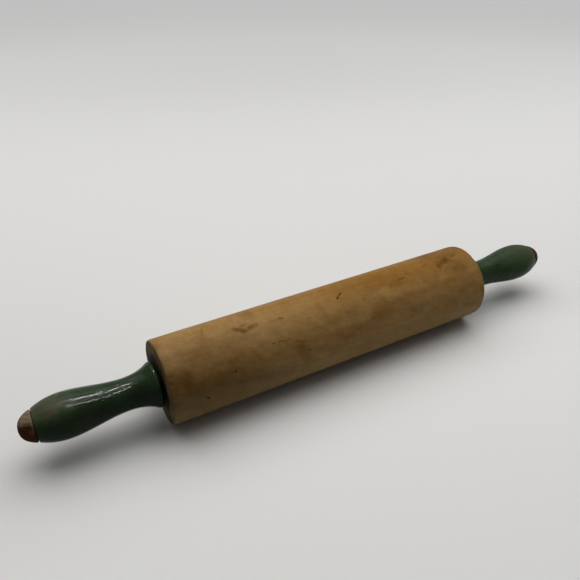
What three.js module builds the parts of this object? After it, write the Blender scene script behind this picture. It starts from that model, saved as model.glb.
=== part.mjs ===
// A wooden rolling pin with turning handles. The solid barrel carries a headed wooden peg
// glued into each end, and a painted wooden handle spins on each peg.
// Units are millimetres. X runs along the pin and Z is up. The origin is on the table,
// under the middle of the barrel.
import * as THREE from "three";

// Barrel
const BARREL_LENGTH = 254;
const BARREL_DIAMETER = 57.6;
const BARREL_EDGE_CHAMFER = 1;

// Handle. The flange is its end next to the barrel, and the belly is its widest place.
const HANDLE_LENGTH = 74.6;
const FLANGE_DIAMETER = 30.8;
const FLANGE_THICKNESS = 2.6;
const FLANGE_EDGE_CHAMFER = 0.8;
const FLARE_REACH = 6.6;
const NECK_DIAMETER = 21.2;
const NECK_FROM_FLANGE = 20.4;
const BELLY_DIAMETER = 29.2;
const BELLY_FROM_TIP = 17;
const SHOULDER_REACH = 8.5;
const TIP_DIAMETER = 22;
const TIP_EDGE_CHAMFER = 0.8;

// Headed peg
const PEG_DIAMETER = 12.7;
const TENON_LENGTH = 44;
const TENON_CHAMFER = 1.5;
const HEAD_DIAMETER = 20.6;
const HEAD_LENGTH = 9.2;
const HEAD_EDGE_CHAMFER = 0.7;
const HEAD_SIDE_REACH = 4.5;
const HEAD_SIDE_LEAN = 1.6;
const NOSE_WIDTH = 13;

// Fits. The clearance is between peg and handle bore, the flange gap between barrel and flange,
// the head gap between handle and peg head, and the glue gap is round the tenon.
const TURNING_CLEARANCE = 0.4;
const FLANGE_GAP = 2;
const HEAD_GAP = 0.4;
const GLUE_GAP = 0.15;

// Drilled holes
const GLUE_POCKET = 3;
const DRILL_POINT_ANGLE = 118;
const HOLE_MOUTH_CHAMFER = 0.9;

// Round surfaces have this many flats, a multiple of four, so that one flat faces down.
const FLATS = 32;
const CURVE_STEPS = 10;

const maple = new THREE.MeshStandardMaterial({ color: 0xb08a55, roughness: 0.5, metalness: 0 });
const greenPaint = new THREE.MeshStandardMaterial({ color: 0x2c5236, roughness: 0.25, metalness: 0 });
const bareWood = new THREE.MeshStandardMaterial({ color: 0x8a5f43, roughness: 0.6, metalness: 0 });

// A lathe-turned piece: the outline's x is the place along the pin and its y the radius. The
// flats touch the true circle at their middles.
function turned(name, outline, material) {
  const cornerSpread = 1 / Math.cos(Math.PI / FLATS);
  const profile = outline
    .getPoints(CURVE_STEPS)
    .map((point) => new THREE.Vector2(point.y * cornerSpread, point.x));
  const geometry = new THREE.LatheGeometry(profile, FLATS, Math.PI / FLATS);
  geometry.rotateZ(-Math.PI / 2);
  const mesh = new THREE.Mesh(geometry, material.clone());
  mesh.name = name;
  return mesh;
}

// The barrel is a plain cylinder with a drilled hole for a tenon in each end.
function barrelOutline() {
  const end = BARREL_LENGTH / 2;
  const radius = BARREL_DIAMETER / 2;
  const hole = PEG_DIAMETER / 2 + GLUE_GAP;
  const floor = end - TENON_LENGTH - GLUE_POCKET;
  const drillPoint = hole / Math.tan(THREE.MathUtils.degToRad(DRILL_POINT_ANGLE / 2));
  const rightHalf = [
    new THREE.Vector2(end - BARREL_EDGE_CHAMFER, radius),
    new THREE.Vector2(end, radius - BARREL_EDGE_CHAMFER),
    new THREE.Vector2(end, hole + HOLE_MOUTH_CHAMFER),
    new THREE.Vector2(end - HOLE_MOUTH_CHAMFER, hole),
    new THREE.Vector2(floor, hole),
    new THREE.Vector2(floor - drillPoint, 0),
  ];
  const leftHalf = rightHalf.map((point) => new THREE.Vector2(-point.x, point.y)).reverse();
  return new THREE.Path([...leftHalf, ...rightHalf]);
}

// The peg's x is zero at the barrel's end face: the tenon lies inside, the shank carries the
// handle, and the head keeps the handle on.
function pegOutline() {
  const shank = PEG_DIAMETER / 2;
  const head = HEAD_DIAMETER / 2;
  const seat = FLANGE_GAP + HANDLE_LENGTH + HEAD_GAP;
  const nose = seat + HEAD_LENGTH;
  const outline = new THREE.Path();
  outline.moveTo(-TENON_LENGTH, 0);
  outline.lineTo(-TENON_LENGTH, shank - TENON_CHAMFER);
  outline.lineTo(TENON_CHAMFER - TENON_LENGTH, shank);
  outline.lineTo(seat, shank);
  outline.lineTo(seat, head - HEAD_EDGE_CHAMFER);
  outline.lineTo(seat + HEAD_EDGE_CHAMFER, head);
  outline.bezierCurveTo(seat + HEAD_SIDE_REACH, head - HEAD_SIDE_LEAN, nose, NOSE_WIDTH / 2, nose, 0);
  return outline;
}

// The handle's x is zero at the barrel's end face. From the flange its side flares down to the
// neck, swells to the belly in an even S, and rounds over to the tip. The bore goes right through.
function handleOutline() {
  const bore = PEG_DIAMETER / 2 + TURNING_CLEARANCE;
  const flange = FLANGE_DIAMETER / 2;
  const neck = NECK_DIAMETER / 2;
  const belly = BELLY_DIAMETER / 2;
  const tip = TIP_DIAMETER / 2;
  const start = FLANGE_GAP;
  const end = start + HANDLE_LENGTH;
  const flareStart = start + FLANGE_THICKNESS;
  const neckAt = start + NECK_FROM_FLANGE;
  const bellyAt = end - BELLY_FROM_TIP;
  const third = (bellyAt - neckAt) / 3;
  const outline = new THREE.Path();
  outline.moveTo(start, bore + HOLE_MOUTH_CHAMFER);
  outline.lineTo(start, flange - FLANGE_EDGE_CHAMFER);
  outline.lineTo(start + FLANGE_EDGE_CHAMFER, flange);
  outline.lineTo(flareStart, flange);
  outline.quadraticCurveTo(flareStart + FLARE_REACH, neck, neckAt, neck);
  outline.bezierCurveTo(neckAt + third, neck, bellyAt - third, belly, bellyAt, belly);
  outline.quadraticCurveTo(bellyAt + SHOULDER_REACH, belly, end - TIP_EDGE_CHAMFER, tip);
  outline.lineTo(end, tip - TIP_EDGE_CHAMFER);
  outline.lineTo(end, bore + HOLE_MOUTH_CHAMFER);
  outline.lineTo(end - HOLE_MOUTH_CHAMFER, bore);
  outline.lineTo(start + HOLE_MOUTH_CHAMFER, bore);
  outline.closePath();
  return outline;
}

// One end of the pin: its peg and handle, set against the barrel's end face and turned to the
// side that they belong to.
function pinEnd(side, turn) {
  const fittings = new THREE.Group();
  fittings.add(turned(`${side}_peg`, pegOutline(), bareWood));
  fittings.add(turned(`${side}_handle`, handleOutline(), greenPaint));
  for (const piece of fittings.children) {
    piece.position.x = BARREL_LENGTH / 2;
  }
  fittings.rotation.z = turn;
  return fittings;
}

const pin = new THREE.Group();
pin.add(turned("barrel", barrelOutline(), maple));
pin.add(pinEnd("right", 0));
pin.add(pinEnd("left", Math.PI));
pin.position.z = BARREL_DIAMETER / 2;

export default pin;
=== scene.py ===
# %% [markdown]
# # A wooden rolling pin with turning handles
# The real pin is five pieces of turned wood: a maple barrel, a painted handle at each end, and
# the headed peg that each handle spins on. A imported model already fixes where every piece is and
# how it moves, so this lesson loads it first and then models a finer piece in each one's place.

# %% Load the fixed frame
import math

import bmesh
import bpy
from mathutils import Matrix, Quaternion, Vector, noise
from mathutils.geometry import interpolate_bezier
from mathutils.kdtree import KDTree


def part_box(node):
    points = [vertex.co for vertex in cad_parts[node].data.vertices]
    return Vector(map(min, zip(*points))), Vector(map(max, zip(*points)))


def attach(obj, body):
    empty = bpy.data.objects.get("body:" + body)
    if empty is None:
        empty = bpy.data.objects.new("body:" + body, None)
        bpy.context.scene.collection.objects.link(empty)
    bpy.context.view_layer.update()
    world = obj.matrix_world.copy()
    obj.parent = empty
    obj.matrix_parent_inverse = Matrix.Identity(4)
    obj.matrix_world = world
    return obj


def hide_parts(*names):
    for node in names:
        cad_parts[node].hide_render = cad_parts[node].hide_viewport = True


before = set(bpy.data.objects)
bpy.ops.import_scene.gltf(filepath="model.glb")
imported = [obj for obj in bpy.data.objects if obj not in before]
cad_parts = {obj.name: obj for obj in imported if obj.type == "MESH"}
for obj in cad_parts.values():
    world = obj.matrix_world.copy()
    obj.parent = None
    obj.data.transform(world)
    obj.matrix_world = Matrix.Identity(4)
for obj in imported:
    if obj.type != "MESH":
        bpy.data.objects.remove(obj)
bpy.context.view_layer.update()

# %% [markdown]
# ## Measures
# A turner works from a few numbers. The barrel's length, its radius and the height of its axis
# can be read off the frame, so that the fine pieces can never drift from the fixed ones. The
# handles and pegs have a shaped outline, which a box can't give, so their sizes are written out
# where each is turned.

# %% Read the barrel
MM = 0.001
barrel_low, barrel_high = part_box("barrel")
BARREL_END = barrel_high.x
BARREL_RADIUS = (barrel_high.z - barrel_low.z) / 2
AXIS_HEIGHT = (barrel_high.z + barrel_low.z) / 2
print("barrel half length", round(BARREL_END, 4), "radius", round(BARREL_RADIUS, 4))

# %% [markdown]
# ## Turning on a lathe
# Every piece here came off a lathe, so each is an outline swept round one axis. In Blender that is
# the spin operator: a short chain of edges goes round in steps, and the last step merges into the
# first. Points on the axis make many copies of themselves, so doubles are merged, and the normals
# are recalculated afterwards because a spin can leave a shape inside out.

# %% Spin an outline into a piece
MERGE_DISTANCE = 0.005 * MM
SHARP_ANGLE = math.radians(40)


def turned_mesh(outline, steps):
    bm = bmesh.new()
    chain = [bm.verts.new((along, 0, AXIS_HEIGHT + radius)) for along, radius in outline]
    links = [bm.edges.new(pair) for pair in zip(chain, chain[1:])]
    bmesh.ops.spin(
        bm, geom=chain + links, cent=(0, 0, AXIS_HEIGHT), axis=(1, 0, 0), dvec=(0, 0, 0),
        angle=math.tau, steps=steps, use_merge=True, use_duplicate=False)
    bmesh.ops.remove_doubles(bm, verts=bm.verts, dist=MERGE_DISTANCE)
    bmesh.ops.recalc_face_normals(bm, faces=bm.faces)
    return bm


def finished_piece(name, bm, body, node):
    mesh = bpy.data.meshes.new(name)
    bm.to_mesh(mesh)
    bm.free()
    mesh.shade_smooth()
    mesh.set_sharp_from_angle(angle=SHARP_ANGLE)
    piece = bpy.data.objects.new(name, mesh)
    bpy.context.scene.collection.objects.link(piece)
    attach(piece, body)
    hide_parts(node)
    print(name, "has", len(mesh.polygons), "faces")
    return piece


# %% [markdown]
# ## The barrel
# The barrel is a plain cylinder with a drilled hole in each end for the peg's tenon. A cylinder
# primitive would do for the outside, but not for the holes, so it is spun from an outline too.
# The rims are rounded with a bevel, because a wooden edge never stays sharp. The long edges are
# then cut into millimetre rings, so that the surface has points to carry dents.

# %% Draw the barrel's outline
PEG_RADIUS = 6.35 * MM
GLUE_GAP = 0.15 * MM
HOLE_CHAMFER = 0.9 * MM
HOLE_DEPTH = 47 * MM
DRILL_POINT = 3.9 * MM
RIM_SUPPORT = 2.5 * MM


def barrel_outline():
    hole = PEG_RADIUS + GLUE_GAP
    right_half = [
        (BARREL_END - RIM_SUPPORT, BARREL_RADIUS),
        (BARREL_END, BARREL_RADIUS),
        (BARREL_END, BARREL_RADIUS - RIM_SUPPORT),
        (BARREL_END, hole + HOLE_CHAMFER),
        (BARREL_END - HOLE_CHAMFER, hole),
        (BARREL_END - HOLE_DEPTH, hole),
        (BARREL_END - HOLE_DEPTH - DRILL_POINT, 0),
    ]
    left_half = [(-along, radius) for along, radius in reversed(right_half)]
    return left_half + right_half


print("points in the barrel's outline:", len(barrel_outline()))

# %% Spin the barrel
BARREL_STEPS = 240
RIM_ROUND = 1.1 * MM
RIM_SEGMENTS = 5
RING_SPACING = 1.0 * MM
TOLERANCE = 0.01 * MM


def from_axis(point):
    return math.hypot(point.y, point.z - AXIS_HEIGHT)


def is_rim(edge):
    return all(
        abs(abs(v.co.x) - BARREL_END) < TOLERANCE
        and abs(from_axis(v.co) - BARREL_RADIUS) < TOLERANCE
        for v in edge.verts)


def is_long_side(edge):
    on_side = from_axis(edge.verts[0].co) > BARREL_RADIUS - TOLERANCE
    return on_side and edge.calc_length() > BARREL_END


barrel_bm = turned_mesh(barrel_outline(), BARREL_STEPS)
rims = [edge for edge in barrel_bm.edges if is_rim(edge)]
bmesh.ops.bevel(
    barrel_bm, geom=rims, offset=RIM_ROUND, affect="EDGES", segments=RIM_SEGMENTS, profile=0.5,
    material=-1)
long_edges = [edge for edge in barrel_bm.edges if is_long_side(edge)]
bmesh.ops.subdivide_edges(
    barrel_bm, edges=long_edges, cuts=int(2 * BARREL_END / RING_SPACING), use_grid_fill=True)
print("barrel:", len(long_edges), "long edges cut,", len(barrel_bm.faces), "faces")

# %% [markdown]
# ## Dents and a worn rim
# Years of use leave a wooden roller slightly uneven: a gouge, a few dents, and nibbles along the
# rims where it was knocked. These are moves of the surface's own points, always inwards, so the
# barrel never grows. A tree of points finds the few that a dent touches, which is much quicker
# than asking every point about every dent.

# %% List the dents
# Each dent: place along in mm, angle from the top to the front, half length, half width, turn, depth
DENTS = [
    (5.0, 11.3, 3.4, 1.1, 35, 0.55),
    (-71.0, 17.0, 5.5, 2.6, -34, 0.22),
    (-104.9, 88.3, 2.0, 1.5, -35, 0.30),
    (-84.2, 65.8, 1.8, 1.6, 0, 0.25),
    (25.0, 62.0, 8.0, 5.0, 10, 0.20),
    (99.0, 11.0, 7.0, 2.2, 27, 0.22),
    (57.5, 16.5, 4.0, 2.4, 0, 0.18),
    (46.0, 118.0, 4.0, 2.5, 40, 0.30),
    (-15.0, 152.0, 7.0, 3.0, 25, 0.30),
    (72.0, 205.0, 8.0, 4.0, -15, 0.30),
    (-40.0, 262.0, 9.0, 5.0, 20, 0.25),
    (31.0, 285.0, 3.0, 1.5, 50, 0.40),
]


def on_barrel(along, angle, radius=BARREL_RADIUS):
    turn = math.radians(angle)
    return Vector((along * MM, -radius * math.sin(turn), AXIS_HEIGHT + radius * math.cos(turn)))


def mark_axes(angle, turn):
    """A mark's own axes: X along it, Y across it and Z out of the wood."""
    around = Matrix.Rotation(math.radians(angle), 3, "X")
    return around @ Matrix.Rotation(math.radians(turn), 3, "Z")


print("dents to press in:", len(DENTS))

# %% Press in the dents
UNEVEN = 0.10 * MM
UNEVEN_SIZE = 30 * MM
RIM_REACH = 5 * MM
RIM_NIBBLE = 0.7 * MM
KNOCK_SIZE = 7 * MM
FINE_KNOCK_SIZE = 2.5 * MM
FINE_KNOCK_SHARE = 0.4
OUTER_SKIN = 1.2 * RIM_ROUND


def wear_depth(point):
    """How deep the wood has sunk at a point, from unevenness and from knocks at the rim."""
    uneven = UNEVEN * (0.5 + 0.5 * noise.noise(point / UNEVEN_SIZE))
    near_rim = max(0, 1 - (BARREL_END - abs(point.x)) / RIM_REACH)
    fine = FINE_KNOCK_SHARE * noise.noise(point / FINE_KNOCK_SIZE)
    knocks = max(0, noise.noise(point / KNOCK_SIZE) + fine)
    return uneven + RIM_NIBBLE * near_rim ** 2 * knocks


outside = [v for v in barrel_bm.verts if from_axis(v.co) > BARREL_RADIUS - OUTER_SKIN]
depths = [wear_depth(v.co) for v in outside]
tree = KDTree(len(outside))
for index, v in enumerate(outside):
    tree.insert(v.co, index)
tree.balance()
for along, angle, length, width, turn, depth in DENTS:
    centre = on_barrel(along, angle)
    axes = mark_axes(angle, turn)
    for point, index, distance in tree.find_range(centre, length * MM):
        local = axes.transposed() @ (point - centre)
        reach = math.hypot(local.x / length, local.y / width) / MM
        depths[index] += depth * MM * max(0, 1 - reach ** 2) ** 2
for v, depth in zip(outside, depths):
    inwards = Vector((0, -v.co.y, AXIS_HEIGHT - v.co.z)).normalized()
    v.co += inwards * depth
print("deepest dent in mm:", round(max(depths) / MM, 2))

barrel = finished_piece("barrel_turned", barrel_bm, "roller", "barrel")

# %% [markdown]
# ## The handles
# Each handle is one spindle: a flange that faces the barrel, a flare down to a slim neck, a long
# swell to the belly and a rounded tip. Three Bezier curves give that outline with few numbers, and
# two short ones round the edges of flange and tip. The bore goes right through, so the outline
# closes on itself round the bore. The handle is drawn out against its peg's head, which leaves a
# narrow dark gap at the barrel.

# %% Draw the handle's outline
CURVE_POINTS = 40
EDGE_STRIDE = 6
TURNING_CLEARANCE = 0.4 * MM
FLANGE_GAP = 2.0 * MM
FLANGE_RADIUS = 15.4 * MM
FLANGE_THICKNESS = 2.6 * MM
FLANGE_ROUND = 0.9 * MM
FLARE_REACH = 6.6 * MM
NECK_RADIUS = 10.6 * MM
NECK_FROM_FLANGE = 20.4 * MM
BELLY_RADIUS = 14.6 * MM
BELLY_FROM_TIP = 17 * MM
SHOULDER_REACH = 8.5 * MM
TIP_RADIUS = 11 * MM
TIP_ROUND = 0.8 * MM
TIP_CORNER = TIP_RADIUS - 0.2 * TIP_ROUND


def quadratic(start, control, end):
    near = start.lerp(control, 2 / 3)
    far = end.lerp(control, 2 / 3)
    return interpolate_bezier(start, near, far, end, CURVE_POINTS)


def handle_outline(length):
    start = FLANGE_GAP
    end = start + length
    bore = PEG_RADIUS + TURNING_CLEARANCE
    face = Vector((start, FLANGE_RADIUS - FLANGE_ROUND))
    rim = Vector((start + FLANGE_ROUND, FLANGE_RADIUS))
    flare = Vector((start + FLANGE_THICKNESS, FLANGE_RADIUS))
    neck = Vector((start + NECK_FROM_FLANGE, NECK_RADIUS))
    belly = Vector((end - BELLY_FROM_TIP, BELLY_RADIUS))
    tip = Vector((end - TIP_ROUND, TIP_RADIUS))
    tip_face = Vector((end, TIP_RADIUS - TIP_ROUND))
    third = Vector(((belly.x - neck.x) / 3, 0))
    outline = [Vector((start, bore + HOLE_CHAMFER)), face]
    outline += quadratic(face, Vector((start, FLANGE_RADIUS)), rim)[1::EDGE_STRIDE]
    outline += quadratic(flare, Vector((flare.x + FLARE_REACH, NECK_RADIUS)), neck)
    outline += interpolate_bezier(neck, neck + third, belly - third, belly, 2 * CURVE_POINTS)[1:]
    outline += quadratic(belly, Vector((belly.x + SHOULDER_REACH, BELLY_RADIUS)), tip)[1:]
    outline += quadratic(tip, Vector((end, TIP_CORNER)), tip_face)[EDGE_STRIDE::EDGE_STRIDE]
    outline += [Vector((end, bore + HOLE_CHAMFER)), Vector((end - HOLE_CHAMFER, bore))]
    outline += [Vector((start + HOLE_CHAMFER, bore)), outline[0]]
    return outline


handle_low, handle_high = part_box("right_handle")
HANDLE_LENGTH = handle_high.x - handle_low.x
print("handle length in mm:", round(HANDLE_LENGTH / MM, 1))

# %% Spin the handles
HANDLE_STEPS = 160
SIDES = (("left", -1), ("right", 1))


def at_end(outline, side):
    """Sets an outline against the barrel's right end (side 1) or left end (side -1)."""
    return [(side * (BARREL_END + along), radius) for along, radius in outline]


handles = {}
for side, turn in SIDES:
    bm = turned_mesh(at_end(handle_outline(HANDLE_LENGTH), turn), HANDLE_STEPS)
    handles[side] = finished_piece(
        f"{side}_handle_enamelled", bm, f"{side}_handle", f"{side}_handle")

# %% [markdown]
# ## The pegs
# A peg is what holds a handle on: its tenon is glued into the barrel, its shank is the axle and
# its head is the stop. Only the head shows, bare and rounded, past a thin groove. The whole peg is
# turned anyway, because the piece must still be right when the pin is taken apart.

# %% Spin the pegs
PEG_STEPS = 96
HEAD_GAP = 0.4 * MM
TENON_LENGTH = 44 * MM
TENON_CHAMFER = 1.5 * MM
HEAD_RADIUS = 10.3 * MM
HEAD_CHAMFER = 0.7 * MM
HEAD_SIDE_REACH = 4.5 * MM
HEAD_SIDE_LEAN = 1.6 * MM
NOSE_RADIUS = 6.5 * MM
SEAT = FLANGE_GAP + HANDLE_LENGTH + HEAD_GAP
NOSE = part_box("right_peg")[1].x - BARREL_END


def peg_outline():
    side = Vector((SEAT + HEAD_CHAMFER, HEAD_RADIUS))
    lean = Vector((SEAT + HEAD_SIDE_REACH, HEAD_RADIUS - HEAD_SIDE_LEAN))
    crown = Vector((NOSE, NOSE_RADIUS))
    outline = [
        Vector((-TENON_LENGTH, 0)),
        Vector((-TENON_LENGTH, PEG_RADIUS - TENON_CHAMFER)),
        Vector((TENON_CHAMFER - TENON_LENGTH, PEG_RADIUS)),
        Vector((SEAT, PEG_RADIUS)),
        Vector((SEAT, HEAD_RADIUS - HEAD_CHAMFER)),
    ]
    outline += interpolate_bezier(side, lean, crown, Vector((NOSE, 0)), CURVE_POINTS)
    return outline


pegs = {}
for side, turn in SIDES:
    bm = turned_mesh(at_end(peg_outline(), turn), PEG_STEPS)
    pegs[side] = finished_piece(f"{side}_peg_turned", bm, "roller", f"{side}_peg")

# %% [markdown]
# ## A helper for finishes
# Wood and old paint are many thin layers: colour patches, grain, stains, wear. Each layer is one or
# two nodes, so a small helper class adds a node, links its inputs and hands back its output. Sizes
# of patterns are lengths along X, Y and Z, as on the real piece, and every pattern reads Object
# coordinates, so it stays on the wood when a handle spins.

# %% The finish helper
class Finish:
    def __init__(self, name):
        self.material = bpy.data.materials.new(name)
        self.material.use_nodes = True
        self.nodes = self.material.node_tree.nodes
        self.links = self.material.node_tree.links
        self.shader = self.nodes["Principled BSDF"]
        self.place = self.add("TexCoord", "Object", {})
        split = self.nodes.new("ShaderNodeSeparateXYZ")
        self.links.new(self.place, split.inputs[0])
        self.along = split.outputs["X"]
        self.depth = split.outputs["Y"]
        self.height = self.maths("SUBTRACT", split.outputs["Z"], AXIS_HEIGHT)
        across = self.add("CombineXYZ", 0, {"Y": self.depth, "Z": self.height})
        self.radius = self.vector("LENGTH", across)
        self.upward = self.maths("DIVIDE", self.height, self.radius)

    def feed(self, socket, value):
        if isinstance(value, bpy.types.NodeSocket):
            self.links.new(value, socket)
        else:
            socket.default_value = value

    def add(self, kind, output, inputs, **settings):
        node = self.nodes.new("ShaderNode" + kind)
        for name, value in settings.items():
            setattr(node, name, value)
        for name, value in inputs.items():
            self.feed(node.inputs[name], value)
        return node.outputs[output]

    def maths(self, operation, *values):
        return self.add("Math", 0, dict(enumerate(values)), operation=operation)

    def times(self, first, second):
        return self.maths("MULTIPLY", first, second)

    def times_plus(self, value, factor, added):
        return self.maths("MULTIPLY_ADD", value, factor, added)

    def larger(self, first, second):
        return self.maths("MAXIMUM", first, second)

    def between(self, share, at_none, at_full):
        """Goes from one value to another as a share goes from 0 to 1."""
        return self.times_plus(share, at_full - at_none, at_none)

    def vector(self, operation, *values):
        output = "Value" if operation == "LENGTH" else 0
        return self.add("VectorMath", output, dict(enumerate(values)), operation=operation)

    def noise(self, size, detail=3, rough=0.5, twist=0.0, lean=0.0, output="Fac"):
        """A noise with features of this size along X, Y and Z, leaning down towards +X."""
        turn = (0, math.radians(-lean), 0)
        leant = self.add("Mapping", 0, {"Vector": self.place, "Rotation": turn})
        scale = tuple(1 / length for length in size)
        place = self.add("Mapping", 0, {"Vector": leant, "Scale": scale})
        return self.add("TexNoise", output, {
            "Vector": place, "Scale": 1.0, "Detail": detail, "Roughness": rough, "Distortion": twist})

    def share(self, value, low, high):
        """Turns a value into 0 at low and 1 at high, easing in and out."""
        return self.add("MapRange", 0, {
            "Value": value, "From Min": low, "From Max": high}, interpolation_type="SMOOTHSTEP")

    def span(self, value, low, high):
        """Spreads a noise, which mostly lies between 0.3 and 0.7, over low to high."""
        return self.add("MapRange", 0, {
            "Value": value, "From Min": 0.3, "From Max": 0.7, "To Min": low, "To Max": high})

    def tint(self, share, under, over, how="MIX"):
        return self.add("Mix", 2, {0: share, 6: under, 7: over}, data_type="RGBA", blend_type=how)

    def stain(self, share, under, stain):
        """Multiplies a colour where a share says so. A stain is a strength and a colour."""
        strength, over = stain
        return self.tint(self.times(share, strength), under, over, "MULTIPLY")

    def bump(self, height, depth, under=None):
        inputs = {"Height": height, "Distance": depth, "Strength": 1.0}
        if under:
            inputs["Normal"] = under
        return self.add("Bump", 0, inputs)

    def apply(self, colour, roughness, normal, specular):
        self.feed(self.shader.inputs["Base Color"], colour)
        self.feed(self.shader.inputs["Roughness"], roughness)
        self.feed(self.shader.inputs["Normal"], normal)
        self.shader.inputs["Specular IOR Level"].default_value = specular
        print(self.material.name, "has", len(self.nodes), "nodes")
        return self.material


def colour(red, green, blue):
    return (red, green, blue, 1.0)


def mm(*lengths):
    return tuple(length * MM for length in lengths)


# %% [markdown]
# ## Growth rings
# A billet of maple is cut beside the heart of the tree, so the barrel passes through curved growth
# rings. One pattern in three dimensions, the distance from a line beside the barrel, shows as broad
# figure on the sides and as arcs on the ends, just as it does in the real wood. A slow noise bends
# the rings, because no tree grows true. Each ring darkens slowly through its year and ends sharply.

# %% Growth rings in three dimensions
HEART = Vector((0, 0.022, -0.018))
RING_WIDTH = 2.7 * MM
RING_WANDER = 9 * MM
RING_BEND_SIZE = mm(140, 30, 30)
ACROSS = (0, 1, 1)
SUMMER = 0.35
AUTUMN = 0.95
print("growth rings are", round(RING_WIDTH / MM, 1), "mm wide")


def growth_rings(finish, heart, width, wander):
    across = finish.vector("MULTIPLY", finish.vector("SUBTRACT", finish.place, heart), ACROSS)
    bend = finish.noise(RING_BEND_SIZE, detail=2)
    bent = finish.times_plus(bend, wander, finish.vector("LENGTH", across))
    year = finish.maths("FRACT", finish.maths("DIVIDE", bent, width))
    return finish.times(finish.share(year, SUMMER, AUTUMN), finish.share(year, 1.0, AUTUMN))


# %% [markdown]
# ## Marks of use
# The barrel carries an amber patina where oil has aged, grey brown patches where it was gripped,
# smudges, stains, specks and rubbed pale places. Broad dark patches along the front, darkest at the
# left end, are painted shade and sit in the same tables as the grips and smudges. Each mark is an
# ellipsoid set on the surface, given by its place along the barrel, its angle from the top towards
# the front, its two half sizes, its turn and its strength. A noise makes the outlines ragged, and
# the strongest mark wins where two meet. The ones on the far side carry on in the same way.

# %% Broad marks on the barrel
# Each mark: place along in mm, angle from the top to the front, half length, half width, turn, strength
PATINA = [
    (62.0, 0.0, 95.0, 17.0, -3, 1.0),
    (-60.0, 195.0, 80.0, 16.0, 4, 0.8),
    (30.0, 290.0, 60.0, 14.0, 0, 0.6),
]
GRIPS_AND_SHADE = [
    # The first is painted shade at the left front, the second a grip mark on the far side
    (-118.0, 90.0, 58.0, 24.0, -6, 1.0),
    (100.0, 215.0, 70.0, 28.0, 8, 0.7),
]
SMUDGES_AND_SHADE = [
    # The first four are broad painted shade along the front, darkest at the left end; the rest are
    # smudges
    (-105.0, 74.0, 58.0, 25.0, -8, 1.0),
    (-118.0, 55.0, 34.0, 14.0, -10, 0.8),
    (-45.0, 60.0, 60.0, 14.0, 0, 0.7),
    (40.0, 55.0, 90.0, 11.0, 0, 0.5),
    (-69.0, 13.0, 9.0, 4.5, -10, 0.6),
    (-62.4, -11.0, 3.6, 5.5, -12, 0.7),
    (-28.0, 50.0, 12.0, 6.0, -15, 0.6),
    (-96.0, 62.0, 14.0, 5.0, -20, 0.6),
    (30.0, 57.0, 16.0, 8.0, 12, 1.0),
    (14.0, 66.0, 9.0, 4.0, 0, 0.8),
    (33.0, 13.0, 10.0, 6.0, 20, 0.6),
    (50.0, 22.0, 8.0, 4.0, 40, 0.5),
    (101.0, 10.0, 12.0, 6.0, 28, 0.75),
    (112.0, 28.0, 9.0, 7.0, 30, 0.9),
    (108.0, -21.0, 20.0, 11.0, 0, 1.0),
    (54.0, 61.0, 15.0, 7.0, -5, 0.9),
    (2.0, 45.0, 16.0, 6.0, 0, 0.7),
    (105.0, 80.0, 18.0, 9.0, 0, 0.45),
    (80.0, 48.0, 18.0, 6.0, 8, 0.5),
    (-15.0, 152.0, 14.0, 7.0, 25, 0.8),
    (72.0, 205.0, 15.0, 8.0, -15, 0.9),
    (-40.0, 262.0, 16.0, 8.0, 20, 0.8),
    (95.0, 310.0, 12.0, 6.0, 30, 0.7),
]
PALE = [
    (-103.7, 16.5, 4.0, 1.6, 0, 0.8),
    (99.5, 19.0, 6.5, 1.0, 25, 0.8),
    (90.0, 35.0, 9.0, 1.5, -3, 0.6),
    (40.0, 30.0, 12.0, 4.0, -15, 0.6),
    (60.0, 35.0, 12.0, 3.0, -12, 0.6),
    (-22.0, 4.0, 16.0, 6.0, 20, 0.4),
    (-50.0, 2.0, 20.0, 6.0, 5, 0.4),
]
print("broad marks:", len(PATINA + GRIPS_AND_SHADE + SMUDGES_AND_SHADE + PALE))

# %% Small marks on the barrel
# The columns are those of the broad marks
STAINS = [
    (-72.8, 15.0, 4.6, 1.9, -34, 0.8),
    (-70.6, 18.0, 3.0, 1.7, -20, 1.0),
    (-65.3, 16.8, 3.2, 1.5, 15, 0.75),
    (-60.8, 15.0, 2.2, 1.3, 30, 0.55),
    (-69.5, 9.0, 3.4, 1.0, 5, 0.4),
    (-42.8, 17.2, 1.7, 0.8, -15, 0.85),
    (-47.0, 18.0, 4.0, 0.7, -5, 0.35),
    (-54.5, 47.2, 1.4, 0.9, -5, 0.85),
    (-47.0, 48.5, 6.0, 0.8, -6, 0.4),
    (-94.9, -4.0, 4.7, 0.6, 72, 0.5),
    (-81.6, 82.5, 3.6, 0.8, 0, 0.5),
    (-36.5, 56.0, 3.6, 0.4, -22, 0.6),
    (-34.0, 58.5, 4.0, 0.4, -22, 0.6),
    (-124.0, 45.0, 1.6, 1.0, 0, 0.5),
    (57.5, 16.7, 3.2, 1.2, 4, 0.7),
    (64.6, 10.8, 1.4, 1.0, 0, 0.7),
    (46.7, 21.7, 3.4, 0.7, 62, 0.4),
    (99.0, 10.8, 6.4, 1.7, 28, 0.45),
    (103.7, 6.7, 3.0, 2.0, 40, 0.65),
    (94.2, 15.8, 2.8, 1.9, 25, 0.6),
    (107.0, 13.0, 3.0, 1.2, -30, 0.5),
    (112.0, 4.0, 3.0, 1.5, 20, 0.5),
    (84.0, 6.0, 4.0, 1.2, 15, 0.4),
    (21.0, 60.0, 4.0, 1.0, 10, 0.4),
    (-12.0, 150.0, 5.0, 1.2, 25, 0.7),
    (70.0, 207.0, 6.0, 1.4, -15, 0.7),
    (-43.0, 260.0, 5.0, 1.0, 20, 0.6),
    (97.0, 308.0, 4.0, 1.0, 30, 0.7),
]
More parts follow.
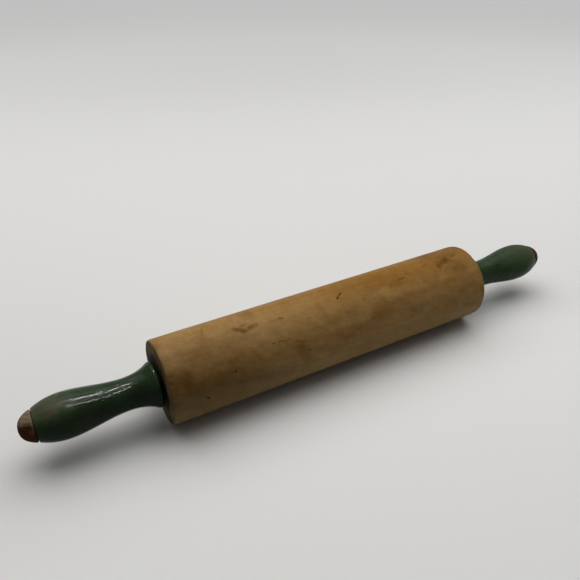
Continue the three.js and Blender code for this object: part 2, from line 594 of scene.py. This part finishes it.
SPECKS = [
    (3.2, 13.9, 1.6, 0.7, 35, 0.95),
    (5.0, 11.3, 2.8, 0.4, 35, 0.5),
    (6.9, 8.7, 1.5, 0.8, 30, 0.7),
    (-84.2, 65.8, 0.9, 0.8, 0, 0.65),
    (-104.9, 88.3, 1.4, 0.8, -35, 0.75),
    (-30.7, 71.3, 0.9, 0.7, 0, 0.5),
    (21.3, 30.3, 0.9, 0.8, 0, 0.4),
    (-23.2, 30.8, 1.1, 0.5, 10, 0.4),
    (46.0, 118.0, 1.4, 1.0, 40, 0.7),
    (-88.0, 230.0, 1.2, 0.9, 0, 0.7),
    (31.0, 285.0, 2.0, 0.7, 50, 0.8),
]
print("small marks:", len(STAINS + SPECKS))

# %% Turn a table of marks into a share
LEAST_HALF_DEPTH = 2
MIDDLE_GREY = (0.5, 0.5, 0.5)


def marks(finish, table, ragged, soft, radius=BARREL_RADIUS, lumps=3 * MM):
    """How strongly a point is marked. Outlines wander by ragged, in lumps, and fade over soft."""
    lumpy = finish.noise((lumps,) * 3, detail=3, output="Color")
    wobble = finish.vector("SUBTRACT", lumpy, MIDDLE_GREY)
    place = finish.vector("MULTIPLY_ADD", wobble, (ragged,) * 3, finish.place)
    strongest = 0.0
    for along, angle, length, width, turn, strength in table:
        local = finish.add("Mapping", 0, {
            "Vector": place, "Location": on_barrel(along, angle, radius),
            "Rotation": mark_axes(angle, turn).to_euler(),
            "Scale": mm(length, width, max(LEAST_HALF_DEPTH, width))}, vector_type="TEXTURE")
        mark = finish.share(finish.vector("LENGTH", local), 1 + soft, 1 - soft)
        strongest = finish.larger(finish.times(mark, strength), strongest)
    return strongest


# %% [markdown]
# ## Aged maple
# New maple is pale. Years of oil and handling turn it honey brown, in patches, and amber where the
# patina is thickest. One flat brown would look like plastic, so the colour is built up as the wood
# was: patches first, then rings, a warm glow, fine fibres that run out of the side at a lean, the
# cross bands of a slightly curly log, and short dark flecks.

# %% The colour and grain of the sides
HONEY = colour(0.322, 0.201, 0.079)
AMBER = colour(0.240, 0.118, 0.022)
ROSE = colour(0.255, 0.140, 0.046)
# A stain is a strength and a colour to multiply by
RING_STAIN = (0.12, colour(0.55, 0.42, 0.25))
PATINA_STRENGTH = 0.85
# In pairs like these, here and below, a share is 0 at the first number and 1 at the second, or a
# noise is spread from the first to the second
AMBER_DRIFT = (-0.15, 0.3)
ROSE_PATCHES = (0.45, 0.7)
ROSE_STRENGTH = 0.45
GRAIN_LEAN = 14
CURL_LEAN = -30
# Each grain layer: size in mm along X, Y and Z, the noise's settings, the noise at which the layer
# starts and is full, and its stain
GRAIN = {
    "glow": (
        (6, 3.5, 3.5), {"detail": 3, "lean": GRAIN_LEAN},
        (0.4, 0.68), (0.5, colour(0.95, 0.80, 0.45))),
    "fibres": (
        (22, 0.6, 0.6), {"detail": 4, "rough": 0.6, "lean": GRAIN_LEAN},
        (0.4, 0.75), (0.55, colour(0.72, 0.65, 0.50))),
    "curl": (
        (9, 20, 20), {"detail": 3, "twist": 1.2, "lean": CURL_LEAN},
        (0.35, 0.65), (0.35, colour(0.76, 0.68, 0.55))),
    "flecks": (
        (3, 0.4, 0.4), {"detail": 1, "lean": GRAIN_LEAN},
        (0.68, 0.76), (0.4, colour(0.50, 0.38, 0.20))),
}
print("grain layers:", sorted(GRAIN))


def maple_grain(finish, clouds, blotches):
    """The clean wood's colour, and the noise of its fibres for the bump."""
    patina = marks(finish, PATINA, ragged=12 * MM, soft=0.75)
    amber = finish.times_plus(patina, PATINA_STRENGTH, finish.span(clouds, *AMBER_DRIFT))
    wood = finish.tint(amber, HONEY, AMBER)
    rosy = finish.times(finish.share(blotches, *ROSE_PATCHES), ROSE_STRENGTH)
    wood = finish.tint(rosy, wood, ROSE)
    rings = growth_rings(finish, HEART, RING_WIDTH, RING_WANDER)
    wood = finish.stain(rings, wood, RING_STAIN)
    noises = {}
    for layer, (size, settings, limits, stain) in GRAIN.items():
        noises[layer] = finish.noise(mm(*size), **settings)
        wood = finish.stain(finish.share(noises[layer], *limits), wood, stain)
    return wood, noises["fibres"]


# %% [markdown]
# ## Dirt, wear and painted shade on the maple
# Use comes on top of the grain. The rims are grubby, some places are rubbed pale, and grips, smudges
# and stains darken others, while the broad ones along the front are painted shade. The low side is
# painted greyer, a painted tint of its shade. All this could be painted on an image, but as shares
# of a colour it stays sharp at any distance.

# %% The wear of the sides
RUBBED_PALE = colour(0.38, 0.25, 0.085)
PALE_STRENGTH = 0.4
# A painted tint of the shade on the low side
SHADE_GREY = colour(0.214, 0.177, 0.095)
SHADE_GREY_STRENGTH = 0.35
LOW_SIDE = (0.6, -0.3)
GRUBBY_REACH = 7 * MM
GRUBBY_BREAKS = (0.2, 1.0)
SMUDGE_BREAKS = (0.3, 1.0)
GRUBBY_STAIN = (0.6, colour(0.52, 0.44, 0.30))
# Grip marks, and painted shade at the left front
GRIP_AND_SHADE_STAIN = (0.75, colour(0.48, 0.44, 0.34))
# Smudges, and broad painted shade along the front
SMUDGE_AND_SHADE_STAIN = (0.85, colour(0.46, 0.38, 0.25))
OIL_STAIN = (0.95, colour(0.46, 0.34, 0.02))
print("grubby rims reach in by", round(GRUBBY_REACH / MM, 1), "mm")


def worn_maple(finish, wood, blotches):
    to_rim = finish.maths("SUBTRACT", BARREL_END, finish.maths("ABSOLUTE", finish.along))
    near_rim = finish.share(to_rim, GRUBBY_REACH, 0)
    grubby = finish.times(near_rim, finish.span(blotches, *GRUBBY_BREAKS))
    wood = finish.stain(grubby, wood, GRUBBY_STAIN)
    pale = marks(finish, PALE, ragged=6 * MM, soft=0.8)
    wood = finish.tint(finish.times(pale, PALE_STRENGTH), wood, RUBBED_PALE)
    # Grips, with painted shade at the left front
    grip_and_shade = marks(finish, GRIPS_AND_SHADE, ragged=14 * MM, soft=0.8)
    wood = finish.stain(grip_and_shade, wood, GRIP_AND_SHADE_STAIN)
    # Smudges, with broad painted shade along the front
    smudge_and_shade = marks(finish, SMUDGES_AND_SHADE, ragged=7 * MM, soft=0.8)
    broken = finish.times(smudge_and_shade, finish.span(blotches, *SMUDGE_BREAKS))
    wood = finish.stain(broken, wood, SMUDGE_AND_SHADE_STAIN)
    stained = marks(finish, STAINS, ragged=3.4 * MM, soft=0.5)
    wood = finish.stain(stained, wood, OIL_STAIN)
    # The low side is painted greyer, as a tint of its shade
    low_side = finish.share(finish.upward, *LOW_SIDE)
    return finish.tint(finish.times(low_side, SHADE_GREY_STRENGTH), wood, SHADE_GREY)


# %% [markdown]
# ## The finished sides
# Specks are the last and darkest marks. They are pits as well as dirt, so they also press into the
# bump and dull the sheen. The sheen is low and uneven, because the oil has dried in.

# %% The barrel's sides
CLOUD_SIZE = mm(50, 25, 25)
BLOTCH_SIZE = mm(16, 9, 9)
SPECK_STAIN = (1.0, colour(0.15, 0.07, 0.0))
SPECK_DEPTH = 0.2 * MM
FIBRE_DEPTH = 0.07 * MM
SIDE_ROUGHNESS = (0.52, 0.66)
SPECK_DULLNESS = 0.15


def maple_sides():
    finish = Finish("aged_maple")
    clouds = finish.noise(CLOUD_SIZE, detail=4, twist=0.5)
    blotches = finish.noise(BLOTCH_SIZE, detail=4, lean=GRAIN_LEAN)
    wood, fibres = maple_grain(finish, clouds, blotches)
    wood = worn_maple(finish, wood, blotches)
    specks = marks(finish, SPECKS, ragged=1.5 * MM, soft=0.35, lumps=1.3 * MM)
    wood = finish.stain(specks, wood, SPECK_STAIN)
    dry = finish.times_plus(specks, SPECK_DULLNESS, finish.span(clouds, *SIDE_ROUGHNESS))
    grain = finish.bump(fibres, FIBRE_DEPTH)
    pitted = finish.bump(finish.maths("SUBTRACT", 1, specks), SPECK_DEPTH, grain)
    return finish.apply(wood, dry, pitted, specular=0.04)


barrel.data.materials.append(maple_sides())

# %% [markdown]
# ## End grain
# On the ends the fibres are cut across, so they drink in more oil and dirt. The same growth rings
# show as arcs, darker and with more contrast, and a dark ring round the handle's flange is painted
# shade of the handle and its gap. A second material on the end faces does this more simply than one
# material that asks where it is.

# %% The barrel's ends
END_LIGHT = colour(0.165, 0.136, 0.075)
END_DARK = colour(0.085, 0.068, 0.035)
END_RING_STAIN = (0.6, colour(0.45, 0.36, 0.28))
PORE_STAIN = (0.6, colour(0.35, 0.28, 0.22))
# Painted shade round the handle's flange
FLANGE_SHADE_STAIN = (0.92, colour(0.14, 0.11, 0.08))
END_PATCH_SIZE = mm(30, 14, 14)
END_PATCHES = (0.3, 0.7)
PORE_SIZE = mm(20, 0.35, 0.35)
PORES = (0.55, 0.72)
PORE_DEPTH = 0.12 * MM
END_ROUGHNESS = (0.6, 0.8)
FLANGE_SHADE_INNER = FLANGE_RADIUS + 1 * MM
FLANGE_SHADE_OUTER = FLANGE_RADIUS + 7 * MM
FACES_ENDWAYS = 0.9


def maple_ends():
    finish = Finish("maple_end_grain")
    patches = finish.noise(END_PATCH_SIZE, detail=4)
    wood = finish.tint(finish.share(patches, *END_PATCHES), END_LIGHT, END_DARK)
    rings = growth_rings(finish, HEART, RING_WIDTH, RING_WANDER)
    wood = finish.stain(rings, wood, END_RING_STAIN)
    pores = finish.share(finish.noise(PORE_SIZE, detail=2), *PORES)
    wood = finish.stain(pores, wood, PORE_STAIN)
    # A dark ring round the flange is painted shade of the handle and its gap
    flange_shade = finish.share(finish.radius, FLANGE_SHADE_OUTER, FLANGE_SHADE_INNER)
    wood = finish.stain(flange_shade, wood, FLANGE_SHADE_STAIN)
    dry = finish.span(patches, *END_ROUGHNESS)
    return finish.apply(wood, dry, finish.bump(pores, PORE_DEPTH), specular=0.02)


barrel.data.materials.append(maple_ends())
for face in barrel.data.polygons:
    in_hole = from_axis(face.center) < BARREL_RADIUS / 2
    face.material_index = int(abs(face.normal.x) > FACES_ENDWAYS or in_hole)
print("end grain faces:", sum(face.material_index for face in barrel.data.polygons))

# %% [markdown]
# ## Old green enamel
# The handles were painted in glossy enamel. On the upper side near the tip, where hands rub, it has
# worn to a dull olive film with brown patches. On the right handle the film is greener and reaches
# further and over more of the upper side, where it is wear and also a painted sheen of the light on
# top. The low side is painted darker as shade, most on the left handle, and chips show along the edge
# of the tip. All this could be separate materials, but wear has no sharp border, so it is mixed into
# one colour.

# %% The layers of paint
GREEN = colour(0.019, 0.041, 0.013)
DEEP_GREEN = colour(0.009, 0.022, 0.006)
# Painted shade on the handles' low side
PAINTED_LOW_SHADE = (1.0, colour(0.25, 0.32, 0.25))
WORN_OLIVE = colour(0.062, 0.067, 0.034)
# The right handle's film colour, wear and a painted sheen of the light on top
WORN_GREEN_AND_SHEEN = colour(0.040, 0.057, 0.024)
WORN_BROWN = colour(0.085, 0.050, 0.024)
BARE_EDGE = colour(0.15, 0.10, 0.055)
PAINT_CLOUD_SIZE = mm(20, 10, 10)
PAINT_CLOUDS = (0.35, 0.7)
PAINTED_SHADE_SIDE = (0.92, 0.2)
RUB_SIZE = mm(7, 4, 4)
FILM_FULL = 4 * MM
FILM_STRENGTH = 0.55
WEAR_AND_SHEEN_RANGE = (0.55, 1.2)
BROWN_BREAKS = (0.2, 1.0)
BROWN_STRENGTH = 0.8
FLAKE_SIZE = mm(1.1, 0.9, 0.9)
CHIP_EDGE = mm(2.0, 0.2)
CHIPS_IN_FILM = 0.3
CHIP_STRENGTH = 0.16
CHIPS = (0.76, 0.80)
MIDDLE_BLEND = 0.1
# The next four are pairs: on the left handle, on the right handle
PAINTED_SHADE_BY_END = (0.8, 0.1)
FILM_REACH_BY_END = mm(40, 75)
FILM_START_BY_END = (0.45, 0.05)
FILM_TOP_BY_END = (0.95, 0.65)
# The columns are those of the barrel's marks
RUBBED_THROUGH = [
    (-193.0, 30.0, 4.0, 2.4, 20, 0.9),
    (-198.5, 8.0, 4.5, 3.0, 0, 0.8),
    (-189.0, 250.0, 5.0, 2.5, 30, 0.8),
    (196.0, 160.0, 5.0, 3.0, 0, 0.8),
]
print("places rubbed through:", len(RUBBED_THROUGH))


def right_end(finish):
    """0 on the pieces at the left end of the pin and 1 on those at the right end."""
    return finish.share(finish.along, -MIDDLE_BLEND, MIDDLE_BLEND)


def past_face(finish):
    """The distance from the barrel's nearer end face, outwards."""
    return finish.maths("SUBTRACT", finish.maths("ABSOLUTE", finish.along), BARREL_END)


def paint_layers(finish, right):
    """The paint's colour, a share of everything that dulls it, and its chips."""
    to_tip = finish.maths("SUBTRACT", FLANGE_GAP + HANDLE_LENGTH, past_face(finish))
    clouds = finish.noise(PAINT_CLOUD_SIZE, detail=3)
    paint = finish.tint(finish.share(clouds, *PAINT_CLOUDS), GREEN, DEEP_GREEN)
    # The low side is painted darker as shade, most on the left handle, and it turns with the handle
    below = finish.share(finish.upward, *PAINTED_SHADE_SIDE)
    shaded = finish.times(below, finish.between(right, *PAINTED_SHADE_BY_END))
    paint = finish.stain(shaded, paint, PAINTED_LOW_SHADE)
    rub = finish.noise(RUB_SIZE, detail=6, rough=0.75)
    film_reach = finish.between(right, *FILM_REACH_BY_END)
    film_start = finish.between(right, *FILM_START_BY_END)
    film_top = finish.between(right, *FILM_TOP_BY_END)
    upper_side = finish.share(finish.upward, film_start, film_top)
    near_tip = finish.times(finish.share(to_tip, film_reach, FILM_FULL), upper_side)
    wear_and_sheen = finish.share(finish.times_plus(near_tip, FILM_STRENGTH, rub), *WEAR_AND_SHEEN_RANGE)
    # On the right handle this film is also a painted sheen of the light on its top
    paint = finish.tint(wear_and_sheen, paint, finish.tint(right, WORN_OLIVE, WORN_GREEN_AND_SHEEN))
    patches = marks(finish, RUBBED_THROUGH, ragged=4 * MM, soft=0.6, radius=BELLY_RADIUS)
    through = finish.times(patches, finish.span(rub, *BROWN_BREAKS))
    paint = finish.tint(finish.times(through, BROWN_STRENGTH), paint, WORN_BROWN)
    flakes = finish.noise(FLAKE_SIZE, detail=4, rough=0.7)
    tip_edge = finish.share(to_tip, *CHIP_EDGE)
    chippy = finish.larger(tip_edge, finish.times(near_tip, CHIPS_IN_FILM))
    chips = finish.share(finish.times_plus(chippy, CHIP_STRENGTH, flakes), *CHIPS)
    paint = finish.tint(chips, paint, BARE_EDGE)
    return paint, finish.larger(wear_and_sheen, finish.larger(through, chips)), chips


# %% [markdown]
# ## The enamel's shine
# The gloss comes from the shader and the lamps, and the breaks in it from the surface: nibs under
# the paint, a fine unevenness like orange peel, and streaks of different gloss along the grain. The
# right handle is duller all over. A chip is a small step down to the wood.

# %% The handles' paint
STREAK_SIZE = mm(8, 1.6, 1.6)
PEEL_SIZE = mm(2.2, 1.1, 1.1)
NIB_SIZE = mm(2.4, 1.0, 1.0)
NIBS = (0.5, 0.66)
PEEL_DEPTH = 0.03 * MM
NIB_HEIGHT = 0.06 * MM
CHIP_DEPTH = 0.10 * MM
GLOSS_ROUGHNESS = (0.03, 0.08)
DULL_ROUGHNESS = 0.45
RIGHT_DULLNESS = 0.22


def handle_enamel():
    finish = Finish("green_enamel")
    right = right_end(finish)
    paint, dulled, chips = paint_layers(finish, right)
    streaks = finish.noise(STREAK_SIZE, detail=4, rough=0.6)
    dull = finish.times(dulled, DULL_ROUGHNESS)
    shine = finish.larger(finish.span(streaks, *GLOSS_ROUGHNESS), dull)
    gloss = finish.times_plus(right, RIGHT_DULLNESS, shine)
    peel = finish.noise(PEEL_SIZE, detail=4, rough=0.6)
    nibs = finish.share(finish.noise(NIB_SIZE, detail=1), *NIBS)
    skin = finish.bump(peel, PEEL_DEPTH, finish.bump(nibs, NIB_HEIGHT))
    chipped = finish.bump(finish.maths("SUBTRACT", 1, chips), CHIP_DEPTH, skin)
    return finish.apply(paint, gloss, chipped, specular=0.08)


enamel = handle_enamel()
for handle in handles.values():
    handle.data.materials.append(enamel)

# %% [markdown]
# ## Bare peg wood
# The peg heads were never painted. The left one has a pale tan crest on its upper side and is dark
# red brown below, which is painted light on top and painted shade below, and the right one is
# painted dark all round as shade. The chamfer beside the groove is pale at the top, rubbed wood with
# a painted highlight, and the shank inside the handle is painted dark, grime and painted shade in
# the gap. Height divided by a padded radius gives the crest a curved border, where height alone
# would cut it off level.

# %% The pegs' wood
# Painted light on the crest and painted shade below it
PEG_LIT_TAN = colour(0.225, 0.172, 0.115)
PEG_SHADED_RED = colour(0.050, 0.019, 0.007)
# Rubbed pale wood and a painted highlight on the chamfer's top
PEG_PALE_AND_HIGHLIGHT = colour(0.24, 0.17, 0.11)
PEG_RING_STAIN = (0.5, colour(0.5, 0.40, 0.32))
PEG_FIBRE_STAIN = (1.0, colour(0.62, 0.54, 0.46))
# Grime and painted shade on the shank in the gap
SHANK_GRIME_AND_SHADE = (0.85, colour(0.2, 0.18, 0.16))
PEG_HEART = Vector((0, -0.012, AXIS_HEIGHT - 0.02))
PEG_RING_WIDTH = 1.8 * MM
PEG_RING_WANDER = 3 * MM
PEG_PATCH_SIZE = mm(12, 6, 6)
PEG_DRIFT = (-0.25, 0.25)
PEG_FIBRE_SIZE = mm(12, 0.5, 0.5)
PEG_FIBRES = (0.45, 0.75)
PEG_FIBRE_DEPTH = 0.06 * MM
PEG_ROUGHNESS = (0.5, 0.7)
CREST_PADDING = 6 * MM
BELOW_CREST = (0.60, 0.36)
CHAMFER_OUTER = mm(1.5, 0.7)
CHAMFER_INNER = mm(-0.5, 0.1)
CHAMFER_TOP = (0.35, 0.85)
SHANK = mm(-0.5, -1)
# On the left peg, on the right peg
PALE_BY_END = (0.5, 0.1)


def chamfer_pale_and_highlight(finish, past_seat, right):
    outer = finish.share(past_seat, *CHAMFER_OUTER)
    inner = finish.share(past_seat, *CHAMFER_INNER)
    top = finish.times(finish.times(outer, inner), finish.share(finish.upward, *CHAMFER_TOP))
    return finish.times(top, finish.between(right, *PALE_BY_END))


def peg_wood():
    finish = Finish("bare_peg_wood")
    past_seat = finish.maths("SUBTRACT", past_face(finish), SEAT)
    right = right_end(finish)
    patches = finish.noise(PEG_PATCH_SIZE, detail=4)
    padded = finish.maths("ADD", finish.radius, CREST_PADDING)
    crest = finish.maths("DIVIDE", finish.height, padded)
    # Painted light and shade: tan crest on top, dark red below, and the right peg dark all round
    low = finish.larger(finish.share(crest, *BELOW_CREST), right)
    shade_and_drift = finish.maths("ADD", low, finish.span(patches, *PEG_DRIFT))
    wood = finish.tint(shade_and_drift, PEG_LIT_TAN, PEG_SHADED_RED)
    rings = growth_rings(finish, PEG_HEART, PEG_RING_WIDTH, PEG_RING_WANDER)
    wood = finish.stain(rings, wood, PEG_RING_STAIN)
    fibres = finish.noise(PEG_FIBRE_SIZE, detail=4)
    wood = finish.stain(finish.share(fibres, *PEG_FIBRES), wood, PEG_FIBRE_STAIN)
    # The chamfer's top is rubbed pale wood with a painted highlight
    wood = finish.tint(chamfer_pale_and_highlight(finish, past_seat, right), wood, PEG_PALE_AND_HIGHLIGHT)
    # The shank is painted dark: grime and painted shade in the gap
    inside = finish.share(past_seat, *SHANK)
    wood = finish.stain(inside, wood, SHANK_GRIME_AND_SHADE)
    dry = finish.span(patches, *PEG_ROUGHNESS)
    return finish.apply(wood, dry, finish.bump(fibres, PEG_FIBRE_DEPTH), specular=0.012)


bare_wood = peg_wood()
for peg in pegs.values():
    peg.data.materials.append(bare_wood)

# %% [markdown]
# ## Floor
# The pin lies on plain pale paper. A grid of one face is enough, as long as it reaches further than
# any camera will look.

# %% Lay the floor
FLOOR_HALF = 6.0
floor_bm = bmesh.new()
bmesh.ops.create_grid(floor_bm, x_segments=1, y_segments=1, size=FLOOR_HALF)
floor_mesh = bpy.data.meshes.new("pale_floor")
floor_bm.to_mesh(floor_mesh)
floor_bm.free()
floor = bpy.data.objects.new("pale_floor", floor_mesh)
bpy.context.scene.collection.objects.link(floor)
print("floor half width in metres:", FLOOR_HALF)

# %% [markdown]
# ## Paper
# Lamps that suit the wood leave the far floor too dark. More light would wash out the pin, so the
# paper glows a little instead, far from the pin and in front of it. Only what looks at it sees the
# glow: the camera, gloss and glass. It lights nothing, and the pin keeps its shadow.

# %% Make the paper glow
PAPER = colour(0.66, 0.652, 0.634)
PAPER_ROUGHNESS = 0.9
WHITE = colour(1, 1, 1)
PALE_ROOM = 0.38
PALE_FRONT = 0.06
GLOW_START = 0.12
GLOW_FULL = 1.3
FRONT_START = -0.01
FRONT_FULL = -0.10
LOOKING_RAYS = ("Is Camera Ray", "Is Glossy Ray", "Is Transmission Ray")

paper = Finish("pale_paper")
from_pin = paper.share(paper.vector("LENGTH", paper.place), GLOW_START, GLOW_FULL)
in_front = paper.share(paper.depth, FRONT_START, FRONT_FULL)
glow = paper.times_plus(in_front, PALE_FRONT, paper.times(from_pin, PALE_ROOM))
looked_at = 0.0
for ray in LOOKING_RAYS:
    looked_at = paper.larger(paper.add("LightPath", ray, {}), looked_at)
paper.feed(paper.shader.inputs["Emission Strength"], paper.times(glow, looked_at))
paper.shader.inputs["Emission Color"].default_value = WHITE
paper.shader.inputs["Base Color"].default_value = PAPER
paper.shader.inputs["Roughness"].default_value = PAPER_ROUGHNESS
floor_mesh.materials.append(paper.material)
print("paper glows up to", PALE_ROOM + PALE_FRONT)

# %% [markdown]
# ## Lamps
# A wide soft box overhead and a little behind models the roundness. Two slim strips draw the long
# broken lights on the glossy paint. One big lamp could not give both. The strips give shine only, so
# they can hang where the gloss needs them and leave the colour of wood and paint alone.

# %% Hang the lamps
SOFT_BOX_PLACE = (0.12, 0.21, 0.75)
SOFT_BOX_TARGET = (0.03, 0, 0.03)
SOFT_BOX_SIZE = (1.4, 0.8)
SOFT_BOX_POWER = 8.3
STRIP_ALONG = -0.078
STRIP_HEIGHT = 0.42
STRIP_SIZE = (0.17, 0.004)
STRIP_TURN = -29
# Each strip: name, place in depth, watts
STRIPS = (("strip_back", 0.09, 1.65), ("strip_front", -0.115, 0.75))


def lamp(name, place, target, size, power, turn=0.0, shine_only=False):
    light = bpy.data.lights.new(name, "AREA")
    light.shape = "RECTANGLE"
    light.size, light.size_y = size
    light.energy = power
    holder = bpy.data.objects.new(name, light)
    bpy.context.scene.collection.objects.link(holder)
    holder.location = place
    holder.rotation_mode = "QUATERNION"
    aim = (Vector(target) - Vector(place)).to_track_quat("-Z", "Y")
    holder.rotation_quaternion = aim @ Quaternion((0, 0, 1), math.radians(turn))
    holder.visible_diffuse = not shine_only
    holder.visible_camera = False
    print(name, "gives", power, "watts")


lamp("soft_box", SOFT_BOX_PLACE, SOFT_BOX_TARGET, SOFT_BOX_SIZE, SOFT_BOX_POWER)
for name, depth, power in STRIPS:
    place = (STRIP_ALONG, depth, STRIP_HEIGHT)
    below = (STRIP_ALONG, depth, 0)
    lamp(name, place, below, STRIP_SIZE, power, turn=STRIP_TURN, shine_only=True)

# %% [markdown]
# ## Room
# The room's own light is dim in front and brighter behind, so the near side of the barrel falls into
# soft shade. A direction and a dot product give that slope without any picture of a room. What looks
# at the room, as with the paper, sees one even pale backdrop instead.

# %% Light the room
ROOM_DARK = 0.0
ROOM_BRIGHT = 0.36
BRIGHT_SIDE = (0.5, 0.87, 0.0)
BACKDROP = PALE_ROOM + 0.12
world = bpy.data.worlds.new("studio")
bpy.context.scene.world = world
world.use_nodes = True
sky = world.node_tree.nodes
sky_links = world.node_tree.links
facing = sky.new("ShaderNodeVectorMath")
facing.operation = "DOT_PRODUCT"
facing.inputs[1].default_value = BRIGHT_SIDE
sky_links.new(sky.new("ShaderNodeTexCoord").outputs["Generated"], facing.inputs[0])
slope = sky.new("ShaderNodeMapRange")
sky_links.new(facing.outputs["Value"], slope.inputs["Value"])
slope.inputs["From Min"].default_value = -1
slope.inputs["To Min"].default_value = ROOM_DARK
slope.inputs["To Max"].default_value = ROOM_BRIGHT
print("room light from", ROOM_DARK, "in front to", ROOM_BRIGHT, "behind")

# %% Show the pale backdrop
rays = sky.new("ShaderNodeLightPath")
looked_at = rays.outputs[LOOKING_RAYS[0]]
for ray in LOOKING_RAYS[1:]:
    either = sky.new("ShaderNodeMath")
    either.operation = "MAXIMUM"
    sky_links.new(looked_at, either.inputs[0])
    sky_links.new(rays.outputs[ray], either.inputs[1])
    looked_at = either.outputs[0]
seen = sky.new("ShaderNodeMix")
sky_links.new(looked_at, seen.inputs[0])
sky_links.new(slope.outputs[0], seen.inputs[2])
seen.inputs[3].default_value = BACKDROP
sky_links.new(seen.outputs[0], sky["Background"].inputs["Strength"])
sky["Background"].inputs["Color"].default_value = WHITE
print("backdrop looks", BACKDROP)

# %% [markdown]
# ## Camera
# The camera stands in front of the left end and looks down along the pin, so that the near handle
# is large and the far one small. Its place and direction were found by fitting the barrel's outline.

# %% Place the camera
CAMERA_PLACE = (-0.1865, -0.2844, 0.2873)
CAMERA_LOOK = Vector((0.3985, 0.7289, -0.5567))
SENSOR_WIDTH = 36
FOCAL_LENGTH = 36
NEAREST = 0.01
camera_data = bpy.data.cameras.new("photo_angle")
camera_data.sensor_width = SENSOR_WIDTH
camera_data.lens = FOCAL_LENGTH
camera_data.clip_start = NEAREST
camera = bpy.data.objects.new("photo_angle", camera_data)
bpy.context.scene.collection.objects.link(camera)
camera.location = CAMERA_PLACE
camera.rotation_mode = "QUATERNION"
camera.rotation_quaternion = CAMERA_LOOK.to_track_quat("-Z", "Y")
bpy.context.scene.camera = camera
bpy.context.scene.view_settings.view_transform = "Standard"
print("camera at", CAMERA_PLACE)
